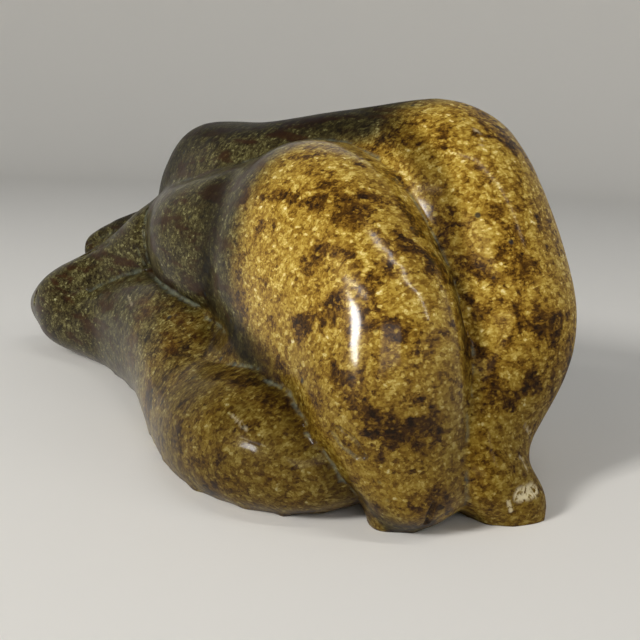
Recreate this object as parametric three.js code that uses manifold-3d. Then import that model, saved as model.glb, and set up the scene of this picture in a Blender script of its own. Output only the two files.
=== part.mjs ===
// Soapstone carving of a heavy beast crouched over a seal, cut from one block of stone.
// Millimetres, +Z up. +X runs from the seal's snout to the hind feet, and -Y is the side
// where the seal lies. The origin is at the middle of the flat underside.

import * as THREE from 'three';
import Module from 'manifold-3d';
import { mergeVertices } from 'three/addons/utils/BufferGeometryUtils.js';

// The stone itself
const STONE_COLOUR = 0x8f6e30;
const STONE_ROUGHNESS = 0.25;

// How finely the surface is traced
const BED_DEPTH = 14;          // how far the forms run on below the cut underside
const CELL = 3.9;              // spacing of the lattice that the surface is traced on
const MEAN_PULL = 0.05;        // how strongly a traced point is held to the middle of its cell
const SPANS = 6;               // pieces that each stretch between two stations is cut into
const MARGIN = 6;              // clear space kept between the stone and the lattice's edge
const CUT_CLEARANCE = 0.5;     // no traced point stays this close to the plane of the underside
const SLOPE_REACH = 0.2;       // how far to either side the slope of the surface is read
const CLEFT_FILL = 0.05;       // how far a lattice corner in a too narrow cleft is sunk into stone
const STEEPEST_TAPER = 0.9;    // most that a limb's radius may change for each millimetre along it
const TINY = 1e-6;             // keeps a point on a spine from dividing by nothing

// How softly two forms run into each other: small is a sharp crease, large a smooth valley
const CREASE = 1.2;
const NARROW = 2.5;
const ROUNDED = 5;
const VALLEY = 12;

// A form is a limb swept along a smooth spine. Each station gives the spine's point, then the
// half width across the limb and its half depth. The direction across is an angle in plan,
// and squareness is 2 for an oval section and more for a boxier one.
const BACK = {
  across: 90,
  squareness: 2.6,
  stations: [
    { at: [47.5, 18, 46.5], half: [21.5, 40.5] },
    { at: [40, 17, 47.5], half: [22.5, 41] },
    { at: [7, 16, 47.5], half: [25, 37] },
    { at: [-25, 19, 46.5], half: [19.5, 37.5] },
    { at: [-42.5, 29.5, 47], half: [21, 33] },
  ],
};

const FAR_HAUNCH = {
  across: 100,
  squareness: 2.2,
  stations: [
    { at: [60, 24, 65.5], half: [22, 26] },
    { at: [67, 19, 60.5], half: [23.5, 26] },
    { at: [76, 18.5, 46], half: [24.5, 25] },
    { at: [85.5, 16, 34.5], half: [19.5, 20.5] },
    { at: [96, 1, 18.5], half: [14.5, 9.5] },
    { at: [104, -6, 8.5], half: [11, 7.5] },
  ],
};

const FAR_FOOT = {
  across: 110,
  squareness: 2.4,
  stations: [
    { at: [100, 5.5, 2], half: [9, 5] },
    { at: [106, 0.5, 2.5], half: [8, 6.5] },
  ],
};

const NEAR_HAUNCH = {
  across: 90,
  squareness: 2.2,
  stations: [
    { at: [47, -6, 50.5], half: [23, 29.5] },
    { at: [56, -9.5, 46.5], half: [22, 30] },
    { at: [75, -15.5, 35.5], half: [19, 24] },
    { at: [87.5, -19.5, 22], half: [18.5, 14.5] },
    { at: [96.5, -20, 10], half: [13, 9.5] },
  ],
};

const NEAR_FOOT = {
  across: 90,
  squareness: 2.4,
  stations: [
    { at: [90, -17, 7], half: [11.5, 8] },
    { at: [91, -16, 3.5], half: [13, 6] },
  ],
};

const NEAR_FORELEG = {
  across: 90,
  squareness: 2.2,
  stations: [
    { at: [36.5, -0.5, 49], half: [21, 29] },
    { at: [0, -2, 48.5], half: [18, 20] },
    { at: [-27.5, 7, 45], half: [13.5, 19] },
    { at: [-45.5, 9.5, 39.5], half: [12, 16] },
  ],
};

const FAR_FORELEG = {
  across: 135,
  squareness: 2,
  stations: [
    { at: [-20, 32, 40], half: [15, 26] },
    { at: [-42, 32, 31], half: [15, 18] },
    { at: [-57, 23, 28], half: [13, 14] },
    { at: [-66, 10, 28], half: [9, 10] },
  ],
};

const BELLY = {
  across: 90,
  squareness: 2.2,
  stations: [
    { at: [-19, 10.5, 22.5], half: [18.5, 17] },
    { at: [30, -6.5, 17], half: [22, 14.5] },
    { at: [63.5, -10.5, 28], half: [21.5, 24] },
  ],
};

const FAR_FLANK = {
  across: 90,
  squareness: 2.6,
  stations: [
    { at: [-40, 22, 14], half: [17, 18] },
    { at: [5, 18, 12], half: [24, 18] },
    { at: [68, 15, 12], half: [22, 18] },
  ],
};

const SEAL_BODY = {
  across: 90,
  squareness: 2.3,
  stations: [
    { at: [-92, -8.5, 11.5], half: [6, 7.5] },
    { at: [-78.5, -7, 14], half: [12.5, 12.5] },
    { at: [-59.5, -1, 13.5], half: [16.5, 14.5] },
    { at: [-41, 1.5, 15], half: [19, 19] },
    { at: [-4.5, -5.5, 15.5], half: [21.5, 22] },
    { at: [28, -13.5, 7], half: [26, 19.5] },
    { at: [60, -23, 11], half: [28, 16.5] },
    { at: [78.5, -22, 10], half: [20, 9.5] },
  ],
};

const SEAL_HEAD = {
  across: 100,
  squareness: 2.2,
  stations: [
    { at: [-38.5, 5.5, 42.5], half: [13, 15] },
    { at: [-60.5, 2.5, 31], half: [12.5, 12] },
    { at: [-78.5, -7.5, 22.5], half: [11.5, 9.5] },
    { at: [-93.5, -9.5, 15], half: [7, 7] },
  ],
};

const PAW = {
  across: 100,
  squareness: 2.2,
  stations: [
    { at: [-51.5, 11.5, 47.5], half: [8.5, 7.5] },
    { at: [-66, 6.5, 43], half: [7, 6.5] },
    { at: [-76.5, 2.5, 38.5], half: [6.5, 5] },
  ],
};

// Numbers of a station in one row, so that a spline can run through all of them at once
function stationRow({ at, half }) {
  return [...at, ...half];
}

// Catmull-Rom point between rows b and c, with rows a and d as their neighbours
function splineRow(a, b, c, d, t) {
  return b.map((value, i) => {
    const slope = c[i] - a[i];
    const bend = 2 * a[i] - 5 * value + 4 * c[i] - d[i];
    const twist = 3 * (value - c[i]) + d[i] - a[i];
    return 0.5 * (2 * value + slope * t + bend * t * t + twist * t * t * t);
  });
}

// The spine of a limb as a chain of rows
function spineRows(stations) {
  const rows = stations.map(stationRow);
  const last = rows.length - 1;
  const chain = [];
  for (let i = 0; i < last; i += 1) {
    const before = rows[Math.max(i - 1, 0)];
    const after = rows[Math.min(i + 2, last)];
    for (let step = 0; step < SPANS; step += 1) {
      chain.push(splineRow(before, rows[i], rows[i + 1], after, step / SPANS));
    }
  }
  chain.push(rows[last]);
  return chain;
}

// Straight tapered pieces between neighbouring rows, each with its own directions
function limbPieces({ across, stations }) {
  const angle = THREE.MathUtils.degToRad(across);
  const side = new THREE.Vector3(Math.cos(angle), Math.sin(angle), 0);
  const chain = spineRows(stations);
  return chain.slice(1).map((row, i) => {
    const start = new THREE.Vector3(...chain[i].slice(0, 3));
    const along = new THREE.Vector3(...row.slice(0, 3)).sub(start);
    const length = along.length();
    along.divideScalar(length);
    const up = new THREE.Vector3().crossVectors(along, side).normalize();
    return {
      start,
      middle: start.clone().addScaledVector(along, length / 2),
      bulk: length / 2 + Math.max(...chain[i].slice(3), ...row.slice(3)),
      along,
      length,
      up,
      side: new THREE.Vector3().crossVectors(up, along),
      startHalf: chain[i].slice(3),
      endHalf: row.slice(3),
    };
  });
}

// Radius of an oval or boxy section in the direction of a point that lies (s, u) off its middle
function sectionRadius(s, u, half, squareness) {
  const ratio = ((s / half[0]) ** squareness + (u / half[1]) ** squareness) ** (1 / squareness);
  return Math.hypot(s, u) / ratio;
}

// Distance from a point to one piece, negative inside it. The piece is an oval solid that
// slides from the start to the end and takes on the end's size on its way.
function pieceDistance(point, piece, squareness) {
  const offset = point.clone().sub(piece.start);
  const run = offset.dot(piece.along);
  const s = Math.abs(offset.dot(piece.side)) + TINY;
  const u = Math.abs(offset.dot(piece.up)) + TINY;
  const off = Math.hypot(s, u);
  const startRadius = sectionRadius(s, u, piece.startHalf, squareness);
  const endRadius = sectionRadius(s, u, piece.endHalf, squareness);
  const startCap = Math.min(...piece.startHalf);
  const endCap = Math.min(...piece.endHalf);
  const growth = (endRadius - startRadius) / piece.length;
  const taper = THREE.MathUtils.clamp(growth, -STEEPEST_TAPER, STEEPEST_TAPER);
  const lean = taper * off * ((startCap + endCap) / (startRadius + endRadius)) ** 2;
  const t = THREE.MathUtils.clamp((run + lean) / piece.length, 0, 1);
  const radius = THREE.MathUtils.lerp(startRadius, endRadius, t);
  const cap = THREE.MathUtils.lerp(startCap, endCap, t);
  const lag = run - t * piece.length;
  const fill = Math.max(Math.hypot(off / radius, lag / cap), TINY);
  return Math.hypot(off, lag) * (1 - 1 / fill);
}

// A form as a function that gives the distance of a point from its surface
function limb(form) {
  const pieces = limbPieces(form);
  return (point) => {
    let nearest = Infinity;
    for (const piece of pieces) {
      if (point.distanceTo(piece.middle) - piece.bulk < nearest) {
        nearest = Math.min(nearest, pieceDistance(point, piece, form.squareness));
      }
    }
    return nearest;
  };
}

// Two or more forms joined, with the corner between them filled to the given softness
function join(softness, ...forms) {
  return (point) => forms
    .map((form) => form(point))
    .reduce((a, b) => {
      const overlap = Math.max(softness - Math.abs(a - b), 0) / softness;
      return Math.min(a, b) - (overlap * overlap * softness) / 4;
    });
}

// The crouching beast: back and far hind leg run into each other, and so do the near
// hind leg and foreleg, while the two pairs meet in a crease
function beast() {
  const farSide = join(
    VALLEY,
    limb(BACK),
    join(ROUNDED, limb(FAR_HAUNCH), limb(FAR_FOOT)),
    limb(FAR_FORELEG),
    limb(FAR_FLANK),
  );
  const nearSide = join(
    VALLEY,
    limb(NEAR_FORELEG),
    join(ROUNDED, limb(NEAR_HAUNCH), limb(NEAR_FOOT)),
  );
  return join(ROUNDED, join(CREASE, farSide, nearSide), limb(BELLY));
}

// The seal on the ground, with the raised side of its head and the paw laid on it
function seal() {
  const head = join(NARROW, limb(SEAL_HEAD), limb(PAW));
  return join(NARROW, limb(SEAL_BODY), head);
}

// Box that holds every form, from the stations and their half sizes
function latticeBox(forms) {
  const box = new THREE.Box3();
  for (const { at, half } of forms.flatMap((form) => form.stations)) {
    const centre = new THREE.Vector3(...at);
    box.expandByPoint(centre.clone().addScalar(Math.max(...half)));
    box.expandByPoint(centre.clone().addScalar(-Math.max(...half)));
  }
  box.expandByScalar(MARGIN);
  box.min.z = Math.max(box.min.z, -BED_DEPTH);
  return box;
}

// Slope of a distance function at a point
function slopeAt(distance, point) {
  const slope = new THREE.Vector3();
  for (const axis of ['x', 'y', 'z']) {
    const ahead = point.clone();
    const behind = point.clone();
    ahead[axis] += SLOPE_REACH;
    behind[axis] -= SLOPE_REACH;
    slope[axis] = (distance(ahead) - distance(behind)) / (2 * SLOPE_REACH);
  }
  return slope;
}

// Corners of a lattice cell, as steps from its lowest corner
const CORNERS = [0, 1, 2, 3, 4, 5, 6, 7].map((bits) => [bits & 1, (bits >> 1) & 1, bits >> 2]);

// Whether the chosen corners of a cell hang together along its edges
function isConnected(chosen) {
  const start = chosen.indexOf(true);
  const reached = new Set([start]);
  for (const bits of reached) {
    for (const flip of [1, 2, 4]) {
      if (chosen[bits ^ flip]) {
        reached.add(bits ^ flip);
      }
    }
  }
  return reached.size === chosen.filter(Boolean).length;
}

// Fills the finest clefts, where two sheets of the surface would share one lattice cell
function fillPinches(values, counts, strides) {
  const steps = CORNERS.map((c) => c[0] * strides[0] + c[1] * strides[1] + c[2] * strides[2]);
  let changed = true;
  while (changed) {
    changed = false;
    for (let k = 0; k < counts[2] - 1; k += 1) {
      for (let j = 0; j < counts[1] - 1; j += 1) {
        for (let i = 0; i < counts[0] - 1; i += 1) {
          const low = i * strides[0] + j * strides[1] + k * strides[2];
          const places = steps.map((step) => low + step);
          const inside = places.map((place) => values[place] < 0);
          const outside = inside.map((value) => !value);
          if (inside.includes(true) && outside.includes(true)) {
            if (!isConnected(inside) || !isConnected(outside)) {
              const open = places.filter((place) => values[place] >= 0);
              const shallow = open.reduce((a, b) => (values[a] < values[b] ? a : b));
              values[shallow] = -CLEFT_FILL;
              changed = true;
            }
          }
        }
      }
    }
  }
}

// Step from the mean of some touching planes' points to the place nearest to all the planes
function planeShift(found, mean) {
  const sums = new THREE.Matrix3().set(MEAN_PULL, 0, 0, 0, MEAN_PULL, 0, 0, 0, MEAN_PULL);
  const target = new THREE.Vector3();
  for (const { point, slope } of found) {
    const parts = slope.toArray();
    sums.elements.forEach((value, at) => {
      sums.elements[at] = value + parts[at % 3] * parts[Math.floor(at / 3)];
    });
    target.addScaledVector(slope, slope.dot(point.clone().sub(mean)));
  }
  return target.applyMatrix3(sums.invert());
}

// Surface of a distance function as one closed mesh: each lattice cell that the surface
// crosses gets one point, and each lattice edge that it crosses gets one four-sided face
function traceSurface(distance, box) {
  const size = box.getSize(new THREE.Vector3()).divideScalar(CELL).ceil();
  const counts = [size.x + 1, size.y + 1, size.z + 1];
  const strides = [1, counts[0], counts[0] * counts[1]];
  const corner = (i, j, k) => box.min.clone().add(new THREE.Vector3(i, j, k).multiplyScalar(CELL));
  const indexOf = (cell) => cell[0] * strides[0] + cell[1] * strides[1] + cell[2] * strides[2];

  const values = new Float64Array(counts[0] * counts[1] * counts[2]);
  for (let k = 0; k < counts[2]; k += 1) {
    for (let j = 0; j < counts[1]; j += 1) {
      for (let i = 0; i < counts[0]; i += 1) {
        const point = corner(i, j, k);
        const bed = box.min.z + CELL / 2 - point.z;
        values[indexOf([i, j, k])] = Math.max(distance(point), bed);
      }
    }
  }

  fillPinches(values, counts, strides);
  const crossings = new Map();
  const cellPoint = new Map();
  const vertices = [];

  // Where the surface crosses the lattice edge that leads from a corner along an axis
  function edgeCrossing(from, axis) {
    const key = indexOf(from) * 3 + axis;
    if (!crossings.has(key)) {
      const start = values[indexOf(from)];
      const end = values[indexOf(from) + strides[axis]];
      const along = from.slice();
      along[axis] += start / (start - end);
      const point = corner(...along);
      crossings.set(key, { point, slope: slopeAt(distance, point).normalize() });
    }
    return crossings.get(key);
  }

  // The point nearest to all the planes that touch the surface where it crosses the cell's
  // edges. It lies on the surface where that is smooth and on the fold where two forms meet.
  function surfacePoint(cell) {
    const found = [];
    for (const low of CORNERS) {
      for (let axis = 0; axis < 3; axis += 1) {
        const from = cell.map((value, n) => value + low[n]);
        if (low[axis] === 0 && values[indexOf(from)] < 0 !== values[indexOf(from) + strides[axis]] < 0) {
          found.push(edgeCrossing(from, axis));
        }
      }
    }
    const mean = new THREE.Vector3();
    found.forEach(({ point }) => mean.addScaledVector(point, 1 / found.length));
    if (mean.z > box.min.z + CELL) {
      mean.add(planeShift(found, mean)).clamp(corner(...cell), corner(...cell.map((n) => n + 1)));
    }
    if (Math.abs(mean.z) < CUT_CLEARANCE) {
      mean.z = -CUT_CLEARANCE;
    }
    return mean;
  }

  function pointOf(cell) {
    const key = indexOf(cell);
    if (!cellPoint.has(key)) {
      cellPoint.set(key, vertices.length);
      vertices.push(surfacePoint(cell));
    }
    return cellPoint.get(key);
  }

  const triangles = [];
  for (let k = 0; k < counts[2] - 1; k += 1) {
    for (let j = 1; j < counts[1] - 1; j += 1) {
      for (let i = 1; i < counts[0] - 1; i += 1) {
        for (let axis = 0; axis < 3; axis += 1) {
          const here = indexOf([i, j, k]);
          const inside = values[here] < 0;
          if (inside !== values[here + strides[axis]] < 0) {
            const u = (axis + 1) % 3;
            const v = (axis + 2) % 3;
            const ring = [[0, 0], [-1, 0], [-1, -1], [0, -1]].map(([du, dv]) => {
              const cell = [i, j, k];
              cell[u] += du;
              cell[v] += dv;
              return pointOf(cell);
            });
            if (!inside) {
              ring.reverse();
            }
            const [a, b, c, d] = ring;
            const cutAC = vertices[a].distanceTo(vertices[c]) <= vertices[b].distanceTo(vertices[d]);
            triangles.push(...(cutAC ? [a, b, c, a, c, d] : [a, b, d, b, c, d]));
          }
        }
      }
    }
  }
  return { positions: vertices.flatMap((vertex) => vertex.toArray()), triangles };
}

const wasm = await Module();
wasm.setup();

// Closed solid from corner positions and triangles
function toSolid({ positions, triangles }) {
  return new wasm.Manifold(new wasm.Mesh({
    numProp: 3,
    vertProperties: new Float32Array(positions),
    triVerts: new Uint32Array(triangles),
  }));
}

// Block of space under the plane that the carving stands on
function groundBlock(box) {
  const width = box.max.x - box.min.x + 2 * MARGIN;
  const depth = box.max.y - box.min.y + 2 * MARGIN;
  const height = 2 * BED_DEPTH;
  const block = new THREE.BoxGeometry(width, depth, height);
  const centre = box.getCenter(new THREE.Vector3());
  block.translate(centre.x, centre.y, -height / 2);
  block.deleteAttribute('normal');
  block.deleteAttribute('uv');
  const merged = mergeVertices(block);
  return toSolid({ positions: merged.attributes.position.array, triangles: merged.index.array });
}

// Geometry of a solid, moved so that the origin is at the middle of its underside
function toGeometry(solid) {
  const mesh = solid.getMesh();
  const geometry = new THREE.BufferGeometry();
  geometry.setAttribute('position', new THREE.BufferAttribute(mesh.vertProperties, mesh.numProp));
  geometry.setIndex(new THREE.BufferAttribute(mesh.triVerts, 1));
  geometry.computeBoundingBox();
  const middle = geometry.boundingBox.getCenter(new THREE.Vector3());
  geometry.translate(-middle.x, -middle.y, 0);
  geometry.computeVertexNormals();
  return geometry;
}

function soapstoneCarving() {
  const forms = [
    BACK, FAR_HAUNCH, FAR_FOOT, NEAR_HAUNCH, NEAR_FOOT, NEAR_FORELEG,
    FAR_FORELEG, BELLY, FAR_FLANK, SEAL_BODY, SEAL_HEAD, PAW,
  ];
  const box = latticeBox(forms);
  const stone = toSolid(traceSurface(join(CREASE, beast(), seal()), box));
  const carving = new THREE.Mesh(
    toGeometry(stone.subtract(groundBlock(box))),
    new THREE.MeshStandardMaterial({ color: STONE_COLOUR, roughness: STONE_ROUGHNESS, metalness: 0 }),
  );
  carving.name = 'soapstone_carving';
  return carving;
}

const group = new THREE.Group();
group.add(soapstoneCarving());

export default group;
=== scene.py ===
"""Polished soapstone carving of a heavy beast crouched over a seal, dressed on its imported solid."""
import logging
import math
from dataclasses import dataclass
from enum import Enum
from typing import Any

import bmesh
import bpy
import numpy as np
from mathutils import Matrix, Vector
from mathutils.bvhtree import BVHTree


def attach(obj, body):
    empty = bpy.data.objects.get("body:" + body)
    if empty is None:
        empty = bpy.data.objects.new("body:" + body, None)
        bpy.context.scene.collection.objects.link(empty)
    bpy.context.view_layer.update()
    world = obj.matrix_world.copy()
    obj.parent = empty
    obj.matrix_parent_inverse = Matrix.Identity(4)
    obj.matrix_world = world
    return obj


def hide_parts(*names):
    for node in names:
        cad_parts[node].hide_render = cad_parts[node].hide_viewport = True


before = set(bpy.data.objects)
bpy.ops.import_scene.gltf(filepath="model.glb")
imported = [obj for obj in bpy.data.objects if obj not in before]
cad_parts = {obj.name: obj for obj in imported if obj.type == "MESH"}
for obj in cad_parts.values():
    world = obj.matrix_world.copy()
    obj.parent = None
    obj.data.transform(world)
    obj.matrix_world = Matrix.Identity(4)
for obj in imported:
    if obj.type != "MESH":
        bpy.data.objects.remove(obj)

LOG = logging.getLogger("carving")
MM = 0.001
IMAGE_SIDE = 640

Pair = tuple[float, float]
Pixel = tuple[float, float]
Colour = tuple[float, float, float]


def linear(code: str) -> tuple[float, float, float, float]:
    """A colour written as six hex digits, in the linear values that shaders take.

    Args:
        code: red, green and blue as two hex digits each.

    Returns:
        Red, green, blue and an alpha of 1.
    """
    parts = [int(code[i:i + 2], 16) / 255 for i in (0, 2, 4)]
    lit = [p / 12.92 if p <= 0.04045 else ((p + 0.055) / 1.055) ** 2.4 for p in parts]
    return (lit[0], lit[1], lit[2], 1.0)


def smooth_step(value: np.ndarray, low: float, high: float) -> np.ndarray:
    """Runs softly from 0 at low to 1 at high.

    Args:
        value: the numbers to map.
        low: where the result is 0.
        high: where the result is 1.

    Returns:
        The mapped numbers.
    """
    t = np.clip((value - low) / (high - low), 0.0, 1.0)
    return t * t * (3.0 - 2.0 * t)


class Socket:
    """An output of a shader node that can be used in Python sums."""

    def __init__(self, nodes: "Nodes", link: bpy.types.NodeSocket) -> None:
        """Keeps the node builder and the output socket."""
        self.nodes = nodes
        self.link = link

    def _math(self, operation: str, *values: Any) -> "Socket":
        """A Math node fed with the values."""
        return self.nodes.add("ShaderNodeMath", {"operation": operation}, *values)

    def __add__(self, other: Any) -> "Socket":
        """Sum."""
        return self._math("ADD", self, other)

    def __radd__(self, other: Any) -> "Socket":
        """Sum with the number first."""
        return self._math("ADD", other, self)

    def __sub__(self, other: Any) -> "Socket":
        """Difference."""
        return self._math("SUBTRACT", self, other)

    def __rsub__(self, other: Any) -> "Socket":
        """Difference with the number first."""
        return self._math("SUBTRACT", other, self)

    def __mul__(self, other: Any) -> "Socket":
        """Product."""
        return self._math("MULTIPLY", self, other)

    def __rmul__(self, other: Any) -> "Socket":
        """Product with the number first."""
        return self._math("MULTIPLY", other, self)

    def at_least(self, other: Any) -> "Socket":
        """The larger of two values."""
        return self._math("MAXIMUM", self, other)

    def at_most(self, other: Any) -> "Socket":
        """The smaller of two values."""
        return self._math("MINIMUM", self, other)


class Blend(Enum):
    """How one colour is laid over another."""

    COVER = "MIX"
    DARKEN = "MULTIPLY"


class Nodes:
    """Builds the nodes of one material."""

    def __init__(self, material: bpy.types.Material) -> None:
        """Clears the material's node tree and keeps it."""
        material.use_nodes = True
        self.tree = material.node_tree
        self.tree.nodes.clear()

    def add(self, kind: str, settings: dict[str, Any], *values: Any, out: int | str = 0,
            **named: Any) -> Socket:
        """Adds a node, sets it and feeds its sockets.

        Args:
            kind: Blender's name of the node type.
            settings: attributes of the node, set before its sockets are fed.
            *values: values or sockets for the first inputs in order.
            out: the output that is handed back.
            **named: values or sockets for inputs by name, with _ for a space.

        Returns:
            The chosen output.
        """
        node = self.tree.nodes.new(kind)
        stops = settings.get("stops")
        for name, value in settings.items():
            if name != "stops":
                setattr(node, name, value)
        if stops is not None:
            self._ramp(node, stops)
        for place, value in enumerate(values):
            self._feed(node.inputs[place], value)
        for name, value in named.items():
            self._feed(node.inputs[name.replace("_", " ")], value)
        return Socket(self, node.outputs[out])

    def _feed(self, entry: bpy.types.NodeSocket, value: Any) -> None:
        """Links a socket to an input, or sets the input's own value."""
        if isinstance(value, Socket):
            self.tree.links.new(value.link, entry)
        elif value is not None:
            entry.default_value = value

    @staticmethod
    def _ramp(node: bpy.types.Node, stops: list[tuple[float, Any]]) -> None:
        """Gives a colour ramp its stops."""
        ramp = node.color_ramp
        while len(ramp.elements) < len(stops):
            ramp.elements.new(0.5)
        for element, (place, colour) in zip(ramp.elements, stops):
            element.position = place
            element.color = colour

    def mix(self, share: Any, first: Any, second: Any, blend: Blend = Blend.COVER) -> Socket:
        """Blends two colours.

        Args:
            share: 0 gives the first colour and 1 the full blend.
            first: a colour or a socket.
            second: a colour or a socket.
            blend: how the second colour is laid over the first.

        Returns:
            The blended colour.
        """
        node = self.tree.nodes.new("ShaderNodeMix")
        node.data_type = "RGBA"
        node.blend_type = blend.value
        node.clamp_factor = True
        self._feed(node.inputs[0], share)
        self._feed(node.inputs[6], first)
        self._feed(node.inputs[7], second)
        return Socket(self, node.outputs[2])

    def step(self, value: Any, low: float, high: float) -> Socket:
        """Runs softly from 0 at low to 1 at high.

        Args:
            value: the socket to map.
            low: where the result is 0.
            high: where the result is 1.

        Returns:
            The mapped value.
        """
        return self.add("ShaderNodeMapRange", {"interpolation_type": "SMOOTHSTEP"},
                        value, low, high, 0.0, 1.0)

    def noise(self, place: Socket, scale: float, detail: float = 3.0, rough: float = 0.55,
              distortion: float = 0.0) -> Socket:
        """Soft noise.

        Args:
            place: the coordinates that it reads.
            scale: waves a metre.
            detail: how many finer layers are added.
            rough: how strong each finer layer is.
            distortion: how far the pattern is bent.

        Returns:
            A value around a half.
        """
        return self.add("ShaderNodeTexNoise", {"noise_dimensions": "3D"}, Vector=place,
                        Scale=scale, Detail=detail, Roughness=rough, Distortion=distortion)

    def ramp(self, value: Socket, stops: tuple[tuple[float, str], ...]) -> Socket:
        """A colour for each value, from stops of place and hex digits."""
        shown = [(place, linear(code)) for place, code in stops]
        return self.add("ShaderNodeValToRGB", {"stops": shown}, value)

    def cell(self, place: Socket, scale: float) -> Socket:
        """One random value for each of many small angular cells.

        Args:
            place: the coordinates that it reads.
            scale: cells a metre.

        Returns:
            A value from 0 to 1.
        """
        colour = self.add("ShaderNodeTexVoronoi", {"feature": "F1"}, Vector=place, Scale=scale,
                          out="Color")
        return self.add("ShaderNodeSeparateColor", {}, colour)

    def attribute(self, name: str) -> Socket:
        """A value kept on the mesh's own points."""
        return self.add("ShaderNodeAttribute", {"attribute_name": name}, out="Fac")

    def moved(self, place: Socket, shift: tuple[float, float, float],
              turn: tuple[float, float, float], scale: tuple[float, float, float]) -> Socket:
        """Coordinates shifted, turned and stretched.

        Args:
            place: the coordinates.
            shift: metres along each axis.
            turn: degrees about each axis.
            scale: factor along each axis.

        Returns:
            The new coordinates.
        """
        angles = tuple(math.radians(a) for a in turn)
        return self.add("ShaderNodeMapping", {"vector_type": "POINT"}, place, shift, angles, scale)

    def finish(self, shader: Socket) -> None:
        """Ends the material in its output node."""
        node = self.tree.nodes.new("ShaderNodeOutputMaterial")
        self.tree.links.new(shader.link, node.inputs["Surface"])


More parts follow.
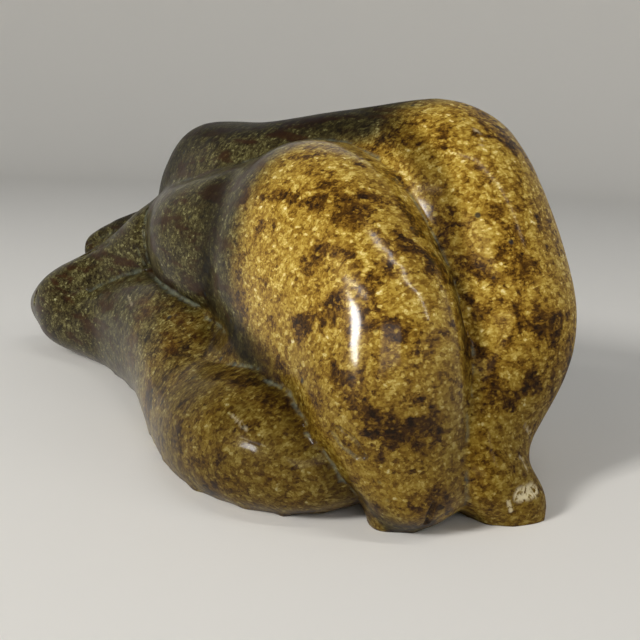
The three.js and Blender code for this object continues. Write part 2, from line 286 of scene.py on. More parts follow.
@dataclass(frozen=True)
class PolishedSoapstone:
    """Golden-brown soapstone, flecked and blotched with dark amber, olive at one end, and darkened by
    painted shade.

    Scales are waves or cells a metre. Ramps run from the darkest flecks to the lightest. A level
    is the middle of a ramp that the stone shows, and a lean is how far a pattern darkens it.
    """

    gold: tuple[tuple[float, str], ...] = (
        (0.0, "241503"), (0.22, "533508"), (0.42, "8C681E"), (0.6, "B5953A"), (0.78, "DCC26C"),
        (1.0, "FAEEBE"))
    gold_level: float = 0.51
    gold_blotch_lean: float = 0.33
    olive: tuple[tuple[float, str], ...] = (
        (0.0, "0B0803"), (0.22, "1D1507"), (0.42, "352D14"), (0.6, "4E4727"), (0.78, "6E6941"),
        (1.0, "9A976F"))
    olive_level: float = 0.48
    olive_fleck_gain: float = 1.2
    olive_blotch_lean: float = 0.14
    olive_streak_lean: float = 0.2
    rust: str = "3C2109"
    rust_share: float = 0.55
    border_scale: float = 90.0
    border_raggedness: float = 0.45
    # The tint that the painted shade multiplies into the stone.
    deep: str = "8C8663"
    speck: str = "1C2228"
    speck_share: float = 0.85
    speck_scale: float = 170.0
    speck_size: Pair = (0.16, 0.07)
    speck_cloud_scale: float = 55.0
    speck_rarity: Pair = (0.54, 0.6)
    residue: str = "757D6C"
    residue_in_valleys: float = 0.16
    residue_in_folds: float = 0.5
    soft_scale: float = 380.0
    cream: str = "D9CBA4"
    chip_scale: float = 800.0
    chip_raggedness: Pair = (0.38, 0.52)
    coarse_scale: float = 1000.0
    coarse_share: float = 0.24
    fine_scale: float = 2375.0
    fine_share: float = 0.22
    glint_scale: float = 1625.0
    glint_share: float = 0.2
    cloud_scale: float = 480.0
    cloud_share: float = 0.75
    roughness: float = 0.34
    bump_height: float = 0.0002
    coat_roughness: float = 0.12
    coat_ior: float = 1.33
    olive_gloss: float = 0.3

    def make(self) -> bpy.types.Material:
        """Builds the material.

        Returns:
            The finished material.
        """
        material = bpy.data.materials.new("polished_soapstone")
        n = Nodes(material)
        place = n.add("ShaderNodeTexCoord", {}, out="Object")
        golden = n.attribute("gold")
        shade = n.attribute("shade")
        worn = n.attribute("worn")
        grains = self._grains(n, place)
        soft = n.noise(place, self.soft_scale, 4.0, 0.6)

        stone = self._ground(n, place, golden, grains)
        # Painted shade: darkens the stone in its hollows, along its folds and towards its foot.
        stone = n.mix(shade, stone, linear(self.deep), Blend.DARKEN)
        stone = n.mix(self._specks(n, place), stone, linear(self.speck))
        pale = self._pale(n, golden, soft)
        stone = n.mix(pale, stone, linear(self.residue))
        ragged = n.noise(place, self.chip_scale, 3.0, 0.6)
        stone = n.mix(worn * n.step(ragged, *self.chip_raggedness), stone, linear(self.cream))

        gloss = self.olive_gloss + (1.0 - self.olive_gloss) * golden
        flat = (0.8 * n.attribute("dull") + 0.8 * shade).at_most(1.0)
        matt = pale.at_least(worn).at_least(flat)
        bump = n.add("ShaderNodeBump", {}, Strength=0.1, Distance=self.bump_height,
                     Height=grains + 0.5 * soft)
        shader = n.add("ShaderNodeBsdfPrincipled", {}, Base_Color=stone,
                       Roughness=self.roughness + 0.3 * matt + 0.25 * (soft - 0.5), IOR=1.5,
                       Specular_IOR_Level=0.06, Normal=bump,
                       Coat_Weight=gloss * (1.0 - 0.85 * matt),
                       Coat_Roughness=self.coat_roughness, Coat_IOR=self.coat_ior)
        n.finish(shader)
        return material

    def _ground(self, n: Nodes, place: Socket, golden: Socket, grains: Socket) -> Socket:
        """The stone's own colour: golden, olive or something between.

        Args:
            n: the material's nodes.
            place: the coordinates.
            golden: how golden the block is.
            grains: the flecks, around 0.

        Returns:
            The colour.
        """
        dark = self._blotches(n, place)
        streaks = self._streaks(n, place)
        warm = n.ramp(self.gold_level + grains - self.gold_blotch_lean * dark, self.gold)
        cool = n.ramp(self.olive_level + self.olive_fleck_gain * grains
                      - self.olive_blotch_lean * dark - self.olive_streak_lean * streaks,
                      self.olive)
        cool = n.mix(self.rust_share * streaks, cool, linear(self.rust))
        border = golden + self.border_raggedness * (n.noise(place, self.border_scale, 4.0) - 0.5)
        return n.mix(n.step(border, 0.0, 1.0), cool, warm)

    def _specks(self, n: Nodes, place: Socket) -> Socket:
        """Where the few bluish-black specks lie, 0 to 1."""
        spots = n.add("ShaderNodeTexVoronoi", {"feature": "F1"}, Vector=place,
                      Scale=self.speck_scale)
        rare = n.noise(place, self.speck_cloud_scale, 2.0)
        return (self.speck_share * n.step(spots, *self.speck_size)
                * n.step(rare, *self.speck_rarity))

    def _pale(self, n: Nodes, golden: Socket, soft: Socket) -> Socket:
        """How much pale residue lies on the stone, thinly in its valleys and along its folds."""
        haze = (self.residue_in_valleys * n.attribute("valley") * (1.0 - golden)
                * n.step(soft, 0.3, 0.7))
        return haze.at_least(self.residue_in_folds * n.attribute("fold") * n.step(soft, 0.35, 0.6))

    def _grains(self, n: Nodes, place: Socket) -> Socket:
        """Fine angular flecks, each of its own lightness, around 0."""
        turned = n.moved(place, (0, 0, 0), (25, 40, -35), (1.0, 0.5, 1.0))
        coarse = n.cell(turned, self.coarse_scale)
        fine = n.cell(turned, self.fine_scale)
        other = n.moved(place, (0.1, 0, 0), (-30, 55, 20), (0.6, 1.0, 1.0))
        glint = n.step(n.cell(other, self.glint_scale), 0.84, 0.98)
        cloud = n.noise(place, self.cloud_scale, 4.0, 0.62)
        return (self.coarse_share * (coarse - 0.5) + self.fine_share * (fine - 0.5)
                + self.cloud_share * (cloud - 0.5) + self.glint_share * glint)

    @staticmethod
    def _blotches(n: Nodes, place: Socket) -> Socket:
        """Dark amber patches with soft ragged edges, 0 to 1."""
        middle = n.noise(place, 150.0, 6.0, 0.62, 0.5)
        broad = n.noise(place, 48.0, 3.0)
        level = middle + 0.5 * (broad - 0.5) + 0.16 * n.attribute("patch")
        return n.step(level, 0.5, 0.68)

    @staticmethod
    def _streaks(n: Nodes, place: Socket) -> Socket:
        """Reddish-brown streaks that run slantwise through the olive stone, 0 to 1."""
        turned = n.moved(place, (0, 0, 0), (0, 32, -20), (0.28, 1.0, 1.0))
        band = n.noise(turned, 230.0, 5.0, 0.6, 0.3)
        return n.step(band, 0.5, 0.62)


@dataclass
class PhotoCamera:
    """The camera at the photograph's place, in millimetres of the part's frame."""

    place: tuple[float, float, float] = (198.16, -155.71, 82.0)
    right: tuple[float, float, float] = (0.6879, 0.7249, 0.0357)
    down: tuple[float, float, float] = (0.1793, -0.1220, -0.9762)
    ahead: tuple[float, float, float] = (-0.7033, 0.6779, -0.2139)
    focal_pixels: float = 858.0
    sensor: float = 36.0

    def axes(self) -> tuple[Vector, Vector, Vector]:
        """The camera's right, down and ahead directions, squared up."""
        ahead = Vector(self.ahead).normalized()
        right = Vector(self.right)
        right = (right - ahead * right.dot(ahead)).normalized()
        return right, ahead.cross(right), ahead

    def build(self) -> bpy.types.Object:
        """Makes the camera and sets it as the scene's own.

        Returns:
            The camera.
        """
        data = bpy.data.cameras.new("photo_camera")
        data.sensor_width = self.sensor
        data.lens = self.focal_pixels * self.sensor / IMAGE_SIDE
        data.clip_start = 0.01
        data.clip_end = 20.0
        right, down, ahead = self.axes()
        turn = Matrix((right, -down, -ahead)).transposed()
        camera = bpy.data.objects.new("photo_camera", data)
        camera.matrix_world = Matrix.Translation(Vector(self.place) * MM) @ turn.to_4x4()
        bpy.context.scene.collection.objects.link(camera)
        bpy.context.scene.camera = camera
        return camera

    def ray(self, pixel: Pixel) -> tuple[Vector, Vector]:
        """The line of sight through a pixel.

        Args:
            pixel: across and down, in a picture of IMAGE_SIDE pixels.

        Returns:
            The start and the direction, in metres.
        """
        right, down, ahead = self.axes()
        half = IMAGE_SIDE / 2
        aim = ahead * self.focal_pixels + right * (pixel[0] - half) + down * (pixel[1] - half)
        return Vector(self.place) * MM, aim.normalized()


def alone(thing: bpy.types.Object) -> None:
    """Deselects everything and makes one object selected and active."""
    bpy.ops.object.select_all(action="DESELECT")
    thing.select_set(True)
    bpy.context.view_layer.objects.active = thing


@dataclass(frozen=True)
class Stroke:
    """A line cut into the stone, found by the pixels of the photograph that it runs through.

    Width and depth are in millimetres. Worn and pale say how much cream or residue it shows.
    """

    name: str
    pixels: tuple[Pixel, ...]
    width: float
    depth: float
    worn: float = 0.0
    pale: float = 0.0


@dataclass(frozen=True)
class Patch:
    """A patch of the stone's own colour, or of painted shade, round a line of pixels of the
    photograph.

    The radius is in millimetres. Depth says how strong the difference is.
    """

    name: str
    pixels: tuple[Pixel, ...]
    radius: float
    depth: float = 1.0


STROKES = (
    Stroke("paw_upper_split", ((86, 244), (99, 237), (113, 231)), 2.6, 0.8),
    Stroke("paw_lower_split", ((82, 256), (96, 249), (108, 243)), 2.4, 0.7),
    Stroke("mouth", ((37, 291), (35, 297), (34, 304)), 1.8, 0.5),
    Stroke("brow_fold", ((90, 290), (98, 286), (112, 280), (126, 274), (145, 269)), 2.4, 0.5,
           pale=0.7),
    Stroke("neck_fold", ((145, 269), (168, 290), (180, 297), (198, 306)), 2.6, 0.7, pale=1.0),
    Stroke("nape_fold", ((148, 208), (145, 225), (144, 240), (149, 262)), 1.8, 0.4, pale=0.7),
    Stroke("wrist_fold", ((137, 249), (141, 258), (146, 268)), 1.4, 0.3, pale=0.6),
    Stroke("toe_split", ((434, 505), (430, 514), (427, 523)), 2.0, 0.8),
    Stroke("scar_hollow", ((336, 433), (345, 438), (354, 447), (361, 456)), 3.8, 0.3),
    Stroke("scar_upper_edge", ((332, 429), (340, 429), (354, 440), (365, 458)), 1.5, 0.5, pale=1.0),
    Stroke("scar_lower_edge", ((332, 432), (340, 444), (356, 458), (365, 458)), 1.5, 0.5, pale=1.0),
    Stroke("heel_chip", ((519, 495), (526, 493), (534, 490)), 3.6, 0.5, worn=1.0),
    Stroke("heel_nick", ((508, 501), (511, 511)), 1.0, 0.1, worn=0.8),
    Stroke("shin_scuff", ((520, 456), (524, 463), (527, 470)), 0.8, 0.05, worn=0.5),
    Stroke("calf_scuff", ((525, 427), (531, 434)), 0.8, 0.05, worn=0.5),
    Stroke("haunch_scratch", ((475, 128), (479, 137), (483, 146)), 0.7, 0.04, worn=0.6),
    Stroke("cheek_scratch", ((128, 295), (132, 305)), 0.7, 0.04, worn=0.4),
    Stroke("side_scratch", ((232, 415), (239, 421), (246, 428)), 0.7, 0.04, worn=0.4),
    Stroke("fine_crack", ((285, 480), (287, 494), (284, 508)), 0.7, 0.12),
)

PATCHES = (
    Patch("crown_spot", ((356, 210),), 6.0),
    Patch("crown_side_spot", ((315, 207),), 4.0),
    Patch("rim_spot", ((400, 245),), 3.5),
    Patch("crease_spot", ((435, 260),), 4.0),
    Patch("middle_band", ((350, 262), (380, 272)), 4.0, 0.6),
    Patch("low_band", ((378, 425), (415, 432)), 4.0),
    Patch("left_spot", ((330, 300),), 4.0, 0.6),
    Patch("left_low_spot", ((300, 330),), 4.0),
    Patch("far_top_spot", ((415, 140),), 4.0),
    Patch("far_middle_spot", ((500, 350),), 5.0, 0.7),
    Patch("far_edge_spot", ((545, 330),), 5.0),
)

# Painted shade along the folds between the forms, round the ankle and in the scar.
SHADES = (
    Patch("fold_over_seal", ((206, 262), (208, 292), (214, 330), (240, 346), (262, 364), (285, 390),
                             (303, 420), (322, 452), (340, 473), (363, 504)), 7.5, 0.95),
    Patch("fold_between_haunches", ((392, 125), (425, 160), (441, 200), (452, 260), (462, 320),
                                    (468, 380), (468, 440), (464, 500)), 4.5, 0.8),
    Patch("fold_under_foreleg", ((150, 262), (168, 290), (198, 306)), 4.0, 0.7),
    Patch("fold_behind_foreleg", ((216, 190), (212, 225), (208, 262)), 8.0, 0.7),
    Patch("ankle", ((360, 455), (400, 462), (440, 462)), 6.0, 0.5),
    Patch("scar", ((338, 436), (350, 444), (360, 454)), 2.2, 0.7),
)


@dataclass(frozen=True)
class Grounds:
    """Where the colours of the block and its painted shade lie, in millimetres of the part's frame.

    Each border is a pair: the share is 0 at its first number and 1 at its second.
    """

    seal_top: tuple[Pair, ...] = (
        (-101, 60), (-39, 38), (-9, 37), (6, 34), (27, 33), (42, 28), (54, 27), (65, 24), (78, 17),
        (83, 11), (89, 0))
    seal_border: Pair = (-1.5, 1.5)
    seal_back: float = 8.0
    seal_gold: float = 0.55
    seal_gold_border: Pair = (-55.0, 50.0)
    near_border: Pair = (26.0, 52.0)
    near_height: float = 40.0
    near_lean: float = 1.5
    far_border: Pair = (44.0, 68.0)
    ridge: Pair = (-4.0, 3.0)
    dull_border: Pair = (23.0, 29.0)
    dull_lean: float = 0.4
    foot_shade: float = 0.75
    foot_depth_border: Pair = (-52.0, -20.0)
    foot_length_border: Pair = (0.0, 40.0)
    recess_shade: float = 0.9
    recess_border: Pair = (0.2, 1.6)
    back_shade: float = 0.8
    back_border: Pair = (-4.0, 4.0)
    back_end: Pair = (-62.0, -40.0)
    flank_relief: float = 0.6
    flank_border: Pair = (12.0, 28.0)

    def gold(self, place: np.ndarray) -> np.ndarray:
        """How golden the block is at each point: 0 is olive.

        Args:
            place: the points, in millimetres.

        Returns:
            One share for each point.
        """
        x, y, z = place.T
        knots = np.array(self.seal_top, dtype=float)
        top = np.interp(x, knots[:, 0], knots[:, 1], right=-9.0)
        seal = smooth_step(top - z, *self.seal_border) * (y < self.seal_back)
        below = np.maximum(self.near_height - z, 0.0)
        near = smooth_step(x - self.near_lean * below, *self.near_border)
        far = smooth_step(x, *self.far_border)
        upper = near + (far - near) * smooth_step(y, *self.ridge)
        low = self.seal_gold * smooth_step(x, *self.seal_gold_border)
        return upper + (low - upper) * seal

    def dull(self, place: np.ndarray) -> np.ndarray:
        """How little of its polish the stone has left: 1 on the far haunch.

        Args:
            place: the points, in millimetres.

        Returns:
            One share for each point.
        """
        x, y, _ = place.T
        return smooth_step(y + self.dull_lean * x, *self.dull_border)

    def shade(self, place: np.ndarray, hollow: np.ndarray) -> np.ndarray:
        """Painted shade towards the foot and in the hollows, and a darker back.

        Args:
            place: the points, in millimetres.
            hollow: how deep each lies below its surroundings, in millimetres.

        Returns:
            One share for each point.
        """
        x, y, z = place.T
        # Painted shade: darker towards the foot and in the hollows, where less light falls.
        foot = (self.foot_shade * smooth_step(-z, *self.foot_depth_border)
                * smooth_step(x, *self.foot_length_border))
        recess = self.recess_shade * smooth_step(hollow, *self.recess_border)
        back = (self.back_shade * smooth_step(y, *self.back_border)
                * smooth_step(-x, *self.back_end))
        back *= 1.0 - self.flank_relief * smooth_step(y, *self.flank_border)
        return np.maximum(np.maximum(foot, recess), back)


@dataclass
class Skin:
    """The points and edges of a mesh as rows of numbers."""

    mesh: bpy.types.Mesh

    def __post_init__(self) -> None:
        """Reads the mesh."""
        self.count = len(self.mesh.vertices)
        self.place = np.empty((self.count, 3))
        self.mesh.vertices.foreach_get("co", self.place.reshape(-1))
        self.normal = np.empty((self.count, 3))
        self.mesh.vertices.foreach_get("normal", self.normal.reshape(-1))
        self.edges = np.empty((len(self.mesh.edges), 2), dtype=np.int32)
        self.mesh.edges.foreach_get("vertices", self.edges.reshape(-1))
        self.degree = np.maximum(np.bincount(self.edges.ravel(), minlength=self.count), 1)

    def spread(self, values: np.ndarray) -> np.ndarray:
        """Mean of the neighbours' values.

        Args:
            values: one row for each point.

        Returns:
            The means, in the same shape.
        """
        rows = values.reshape(self.count, -1)
        start, end = self.edges.T
        total = np.stack([np.bincount(start, rows[end, i], self.count)
                          + np.bincount(end, rows[start, i], self.count)
                          for i in range(rows.shape[1])], axis=1)
        return (total / self.degree[:, None]).reshape(values.shape)

    def hollow(self, rounds: int) -> np.ndarray:
        """How far the points lie below their surroundings, in millimetres.

        Args:
            rounds: how many times the surroundings are averaged.

        Returns:
            One height for each point.
        """
        soft = self.place
        for _ in range(rounds):
            soft = 0.5 * soft + 0.5 * self.spread(soft)
        return ((soft - self.place) * self.normal).sum(axis=1) / MM

    def smooth(self, free: np.ndarray, rounds: int, rim: np.ndarray, pulls: Pair) -> None:
        """Evens the surface out without shrinking it, and its rim along itself.

        Args:
            free: how far each point may move, 0 to 1.
            rounds: how many times the points are moved.
            rim: which points lie on the rim round the underside.
            pulls: shares of the way to the neighbours' mean, taken in turn.
        """
        start, end = self.edges[rim[self.edges].all(axis=1)].T
        ties = np.maximum(np.bincount(np.concatenate((start, end)), minlength=self.count), 1)
        for turn in range(rounds):
            pull = pulls[turn % 2]
            step = free[:, None] * (self.spread(self.place) - self.place)
            for axis in (0, 1):
                row = self.place[:, axis]
                total = (np.bincount(start, row[end], self.count)
                         + np.bincount(end, row[start], self.count))
                step[rim, axis] = (total / ties - row)[rim]
            self.place = self.place + pull * step

    def away(self, line: np.ndarray) -> np.ndarray:
        """Distance of each point from a line of straight stretches.

        Args:
            line: the corners of the line, one row each.

        Returns:
            One distance for each point, in the line's own unit.
        """
        nearest = np.full(self.count, np.inf)
        for start, end in zip(line[:-1], line[1:]):
            along = end - start
            share = np.clip(((self.place - start) @ along) / max(along @ along, 1e-18), 0.0, 1.0)
            gap = np.linalg.norm(self.place - start - share[:, None] * along, axis=1)
            nearest = np.minimum(nearest, gap)
        return nearest

    def height(self) -> np.ndarray:
        """Height of each point above the underside, in millimetres."""
        return self.place[:, 2] / MM

    def keep(self) -> None:
        """Writes the points back and reads the new normals."""
        self.mesh.vertices.foreach_set("co", self.place.ravel())
        self.mesh.update()
        self.mesh.vertices.foreach_get("normal", self.normal.reshape(-1))

    def note(self, name: str, values: np.ndarray) -> None:
        """Keeps one value for each point of the mesh under a name."""
        layer = self.mesh.attributes.new(name, "FLOAT", "POINT")
        layer.data.foreach_set("value", values.astype(np.float32))


@dataclass
class Carving:
    """The stone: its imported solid, rounded, smoothed and given its finest carving."""

    camera: PhotoCamera
    grounds: Grounds = Grounds()
    node_name: str = "soapstone_carving"
    weld: float = 0.002 * MM
    flatness: float = 0.99
    quad_bend: float = 0.6
    quad_shape: float = 0.9
    subdivisions: int = 2
    fold_angle: float = 32.0
    fold_hold: float = 0.7
    fold_depths: Pair = (0.03, 0.12)
    fold_reach: int = 3
    fold_fade: float = 0.8
    fold_guard: float = 0.9
    rim_height: float = 0.05
    rim_fade: Pair = (0.5, 3.0)
    even_rounds: int = 24
    even_pulls: Pair = (0.5, -0.52)
    foot_rounds: int = 160
    foot_pulls: Pair = (0.5, -0.505)
    foot_fade: Pair = (2.0, 9.0)
    fine_margin: float = 0.35
    shallow: float = 0.08
    narrow: float = 2.1
    residue_depths: Pair = (0.06, 0.25)
    residue_rounds: int = 4
    valley_depths: Pair = (0.3, 1.3)
    valley_rounds: int = 45
    worn_fade: Pair = (0.5, 1.2)
    pale_fade: Pair = (0.2, 1.0)
    patch_fade: Pair = (0.3, 1.3)

    def build(self) -> bpy.types.Object:
        """Makes the finished stone.

        Returns:
            The stone's object.
        """
        stone = self._copy_solid()
        self._open_underside(stone)
        self._round_off(stone)
        self._even_out(stone)
        tree = BVHTree.FromObject(stone, bpy.context.evaluated_depsgraph_get())
        lines = self._find_strokes(tree)
        self._refine(stone, lines)
        self._carve(stone, lines)
        self._note_colours(stone, lines, self._find_patches(tree, PATCHES),
                           self._find_patches(tree, SHADES))
        self._close_underside(stone)
        bpy.ops.object.shade_smooth()
        stone.data.materials.clear()
        stone.data.materials.append(PolishedSoapstone().make())
        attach(stone, "root")
        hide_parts(self.node_name)
        return stone

    def _copy_solid(self) -> bpy.types.Object:
        """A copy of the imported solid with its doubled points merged."""
        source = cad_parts[self.node_name]
        stone = bpy.data.objects.new("carved_stone", source.data.copy())
        bpy.context.scene.collection.objects.link(stone)
        alone(stone)
        bpy.ops.object.mode_set(mode="EDIT")
        bpy.ops.mesh.select_all(action="SELECT")
        bpy.ops.mesh.remove_doubles(threshold=self.weld)
        bpy.ops.object.mode_set(mode="OBJECT")
        return stone

    def _open_underside(self, stone: bpy.types.Object) -> None:
        """Takes the flat underside away, so that its rim can be rounded with the rest."""
        bpy.ops.object.mode_set(mode="EDIT")
        bpy.ops.mesh.select_all(action="DESELECT")
        bpy.ops.mesh.select_mode(type="FACE")
        mesh = bmesh.from_edit_mesh(stone.data)
        for face in mesh.faces:
            low = max(point.co.z for point in face.verts) < self.weld
            face.select_set(low and face.normal.z < -self.flatness)
        bmesh.update_edit_mesh(stone.data)
        bpy.ops.mesh.delete(type="FACE")
        bpy.ops.object.mode_set(mode="OBJECT")

    def _round_off(self, stone: bpy.types.Object) -> None:
        """Turns facets into a smooth skin and holds the folds between the forms sharp."""
        bpy.ops.object.mode_set(mode="EDIT")
        bpy.ops.mesh.select_all(action="SELECT")
        bpy.ops.mesh.tris_convert_to_quads(face_threshold=self.quad_bend,
                                           shape_threshold=self.quad_shape)
        bpy.ops.mesh.select_all(action="DESELECT")
        bpy.ops.mesh.select_mode(type="EDGE")
        mesh = bmesh.from_edit_mesh(stone.data)
        bend = -math.radians(self.fold_angle)
        for edge in mesh.edges:
            edge.select_set(edge.is_manifold and edge.calc_face_angle_signed(0.0) < bend)
        bmesh.update_edit_mesh(stone.data)
        bpy.ops.transform.edge_crease(value=self.fold_hold)
        bpy.ops.object.mode_set(mode="OBJECT")
        skin = stone.modifiers.new("skin", "SUBSURF")
        skin.levels = self.subdivisions
        skin.render_levels = self.subdivisions
        bpy.ops.object.modifier_apply(modifier=skin.name)

    def _even_out(self, stone: bpy.types.Object) -> None:
        """Smooths the skin everywhere but in its folds and along its foot."""
        skin = Skin(stone.data)
        sharp = smooth_step(skin.hollow(2), *self.fold_depths) * self._above_rim(skin)
        for _ in range(self.fold_reach):
            sharp = np.maximum(sharp, self.fold_fade * skin.spread(sharp))
        rim = skin.height() < self.rim_height
        free = (1.0 - self.fold_guard * sharp) * ~rim
        skin.smooth(free, self.even_rounds, rim, self.even_pulls)
        low = 1.0 - smooth_step(skin.height(), *self.foot_fade)
        skin.smooth(free * low, self.foot_rounds, rim, self.foot_pulls)
        skin.keep()

    def _above_rim(self, skin: Skin) -> np.ndarray:
        """Runs up from 0 at the underside's rim, where nothing lies below to compare with."""
        return smooth_step(skin.height(), *self.rim_fade)

    def _find_strokes(self, tree: BVHTree) -> list[tuple[Stroke, np.ndarray]]:
        """Lays the fine carving's lines on the stone along the lines of sight.

        Args:
            tree: the smoothed stone.

        Returns:
            Each stroke with the points that it runs through, in metres.
        """
        found = []
        for stroke in STROKES:
            hits = [tree.ray_cast(*self.camera.ray(pixel))[0] for pixel in stroke.pixels]
            line = np.array([hit for hit in hits if hit is not None])
            if len(line) > 1:
                found.append((stroke, line))
            else:
                LOG.info("%s misses the stone", stroke.name)
        return found

    def _find_patches(self, tree: BVHTree,
                      patches: tuple[Patch, ...]) -> list[tuple[Patch, np.ndarray]]:
        """Lays patches of colour on the stone along the lines of sight.

        Args:
            tree: the smoothed stone.
            patches: the patches to lay.

        Returns:
            Each patch with the line that it surrounds, in metres.
        """
        found = []
        for patch in patches:
            hits = [tree.ray_cast(*self.camera.ray(pixel))[0] for pixel in patch.pixels]
            line = [hit for hit in hits if hit is not None]
            if line:
                found.append((patch, np.array([line[0]] + line)))
            else:
                LOG.info("%s misses the stone", patch.name)
        return found

    def _refine(self, stone: bpy.types.Object, lines: list[tuple[Stroke, np.ndarray]]) -> None:
        """Gives the surface finer faces along the deeper strokes, twice along narrow ones."""
        for narrow in (False, True):
            skin = Skin(stone.data)
            near = np.zeros(skin.count, dtype=bool)
            for stroke, line in lines:
                if stroke.depth < self.shallow or (narrow and stroke.width > self.narrow):
                    continue
                near |= skin.away(line) < (0.5 * stroke.width + self.fine_margin) * MM
            bpy.ops.object.mode_set(mode="EDIT")
            bpy.ops.mesh.select_mode(type="FACE")
            bpy.ops.mesh.select_all(action="DESELECT")
            mesh = bmesh.from_edit_mesh(stone.data)
            for face in mesh.faces:
                face.select_set(any(near[point.index] for point in face.verts))
            bmesh.update_edit_mesh(stone.data)
            bpy.ops.mesh.subdivide(number_cuts=1, smoothness=0.0)
            bpy.ops.object.mode_set(mode="OBJECT")

    def _carve(self, stone: bpy.types.Object, lines: list[tuple[Stroke, np.ndarray]]) -> None:
        """Cuts the strokes into the stone."""
        skin = Skin(stone.data)
        for stroke, line in lines:
            far = skin.away(line) / (0.5 * stroke.width * MM)
            push = stroke.depth * MM * (1.0 - smooth_step(far, 0.0, 1.0))
            skin.place -= push[:, None] * skin.normal
        skin.keep()

    def _note_colours(self, stone: bpy.types.Object, lines: list[tuple[Stroke, np.ndarray]],
                      patches: list[tuple[Patch, np.ndarray]],
                      shades: list[tuple[Patch, np.ndarray]]) -> None:
        """Notes on the points what the material needs to know about its place."""
        skin = Skin(stone.data)
        fold = (smooth_step(skin.hollow(self.residue_rounds), *self.residue_depths)
                * self._above_rim(skin))
        worn = np.zeros(skin.count)
        for stroke, line in lines:
            far = skin.away(line) / (0.5 * stroke.width * MM)
            worn = np.maximum(worn, stroke.worn * (1.0 - smooth_step(far, *self.worn_fade)))
            fold = np.maximum(fold, stroke.pale * (1.0 - smooth_step(far, *self.pale_fade)))
        place = skin.place / MM
        hollow = skin.hollow(self.valley_rounds)
        # Painted shade: towards the foot, in the hollows and along the folds, and a darker back.
        shade = np.maximum(self.grounds.shade(place, hollow), self._cover(skin, shades))
        skin.note("fold", fold)
        skin.note("valley", smooth_step(hollow, *self.valley_depths))
        skin.note("worn", worn)
        skin.note("patch", self._cover(skin, patches))
        skin.note("gold", self.grounds.gold(place))
        skin.note("shade", shade)
        skin.note("dull", self.grounds.dull(place))

    def _cover(self, skin: Skin, patches: list[tuple[Patch, np.ndarray]]) -> np.ndarray:
        """How far each point is covered by the patches.

        Args:
            skin: the points.
            patches: each patch with the line that it surrounds, in metres.

        Returns:
            One share for each point.
        """
        share = np.zeros(skin.count)
        for patch, line in patches:
            gap = skin.away(line) / (patch.radius * MM)
            share = np.maximum(share, patch.depth * (1.0 - smooth_step(gap, *self.patch_fade)))
        return share

    def _close_underside(self, stone: bpy.types.Object) -> None:
        """Closes the flat underside again and points all faces outwards."""
        alone(stone)
        bpy.ops.object.mode_set(mode="EDIT")
        bpy.ops.mesh.select_mode(type="EDGE")
        bpy.ops.mesh.select_all(action="DESELECT")
        bpy.ops.mesh.select_non_manifold(extend=False, use_wire=False, use_boundary=True,
                                         use_multi_face=False, use_non_contiguous=False,
                                         use_verts=False)
        bpy.ops.mesh.fill()
        bpy.ops.mesh.select_all(action="SELECT")
        bpy.ops.mesh.normals_make_consistent(inside=False)
        bpy.ops.object.mode_set(mode="OBJECT")


@dataclass(frozen=True)
class Lamp:
    """One rectangular lamp aimed at the stone."""

    name: str
    place: tuple[float, float, float]
    size: tuple[float, float]
    radiance: float
    colour: Colour
    aim: tuple[float, float, float] = (0.06, -0.02, 0.045)
    turn: float = 0.0

    def build(self) -> None:
        """Hangs the lamp."""
        data = bpy.data.lights.new(self.name, "AREA")
        data.shape = "RECTANGLE"
        data.size, data.size_y = self.size
        data.energy = self.radiance * math.pi * self.size[0] * self.size[1]
        data.color = self.colour
        lamp = bpy.data.objects.new(self.name, data)
        aim = (Vector(self.aim) - Vector(self.place)).to_track_quat("-Z", "Y")
        turn = Matrix.Rotation(math.radians(self.turn), 4, "Z")
        lamp.matrix_world = Matrix.Translation(self.place) @ aim.to_matrix().to_4x4() @ turn
        bpy.context.scene.collection.objects.link(lamp)


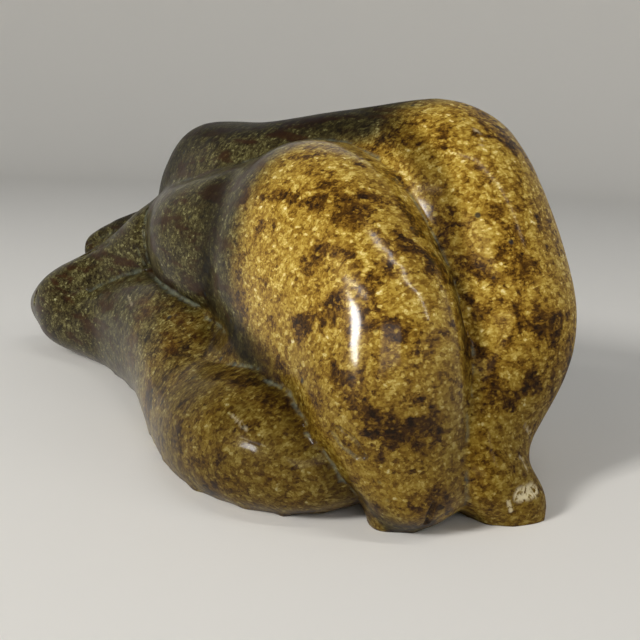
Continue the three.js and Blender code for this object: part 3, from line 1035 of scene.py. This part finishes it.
@dataclass
class Studio:
    """A plain pale floor that sweeps up all round, and soft lights above it."""

    flat_radius: float = 1.1
    sweep: float = 0.45
    height: float = 0.75
    turns: int = 96
    bends: int = 12
    floor_colour: str = "F2EFE9"
    sky: Colour = (0.68, 0.72, 0.76)
    sky_strength: float = 0.17
    lamps: tuple[Lamp, ...] = (
        Lamp("key", (0.0, -1.05, 0.65), (0.21, 0.24), 58.0, (1.0, 0.99, 0.97)),
        Lamp("bar", (0.03, -0.84, 0.84), (0.42, 0.035), 15.0, (1.0, 0.99, 0.97), turn=20.0),
        Lamp("strip", (1.0, 0.49, 1.2), (1.95, 0.05), 15.0, (1.0, 0.99, 0.97), (1.0, 0.48, 0.0),
             41.0),
        Lamp("front", (1.3, -0.9, 0.9), (0.9, 0.7), 2.2, (0.97, 0.98, 1.0)),
        Lamp("wall", (-0.9, 1.25, 1.0), (2.2, 0.5), 0.2, (0.85, 0.92, 1.0)),
    )

    def build(self) -> None:
        """Makes the floor and the lights."""
        self._floor()
        for lamp in self.lamps:
            lamp.build()
        world = bpy.data.worlds.new("plain_sky")
        world.use_nodes = True
        background = world.node_tree.nodes["Background"]
        background.inputs["Color"].default_value = (*self.sky, 1.0)
        background.inputs["Strength"].default_value = self.sky_strength
        bpy.context.scene.world = world

    def _floor(self) -> None:
        """One dish-shaped floor, turned from a profile."""
        profile = [(0.0, 0.0), (self.flat_radius, 0.0)]
        for i in range(1, self.bends + 1):
            angle = math.pi / 2 * i / self.bends
            profile.append((self.flat_radius + self.sweep * math.sin(angle),
                            self.sweep * (1 - math.cos(angle))))
        profile.append((self.flat_radius + self.sweep, self.height))
        mesh = bpy.data.meshes.new("pale_floor")
        mesh.from_pydata([(r, 0.0, z) for r, z in profile],
                         [(i, i + 1) for i in range(len(profile) - 1)], [])
        floor = bpy.data.objects.new("pale_floor", mesh)
        bpy.context.scene.collection.objects.link(floor)
        alone(floor)
        bpy.ops.object.mode_set(mode="EDIT")
        bpy.ops.mesh.select_all(action="SELECT")
        bpy.ops.mesh.spin(steps=self.turns, angle=2 * math.pi, center=(0, 0, 0), axis=(0, 0, 1))
        bpy.ops.mesh.select_all(action="SELECT")
        bpy.ops.mesh.remove_doubles(threshold=0.00001)
        bpy.ops.mesh.normals_make_consistent(inside=True)
        bpy.ops.object.mode_set(mode="OBJECT")
        bpy.ops.object.shade_smooth()
        material = bpy.data.materials.new("pale_paper")
        n = Nodes(material)
        n.finish(n.add("ShaderNodeBsdfPrincipled", {}, Base_Color=linear(self.floor_colour),
                       Roughness=0.9))
        floor.data.materials.append(material)


def main() -> None:
    """Builds the camera, the stone and the studio."""
    logging.basicConfig(level=logging.INFO, format="%(message)s")
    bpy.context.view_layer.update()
    camera = PhotoCamera()
    camera.build()
    LOG.info("camera ready")
    stone = Carving(camera=camera).build()
    LOG.info("%s: %d faces", stone.name, len(stone.data.polygons))
    Studio().build()
    bpy.context.scene.view_settings.view_transform = "Standard"
    LOG.info("studio ready")


if __name__ == "__main__":
    main()
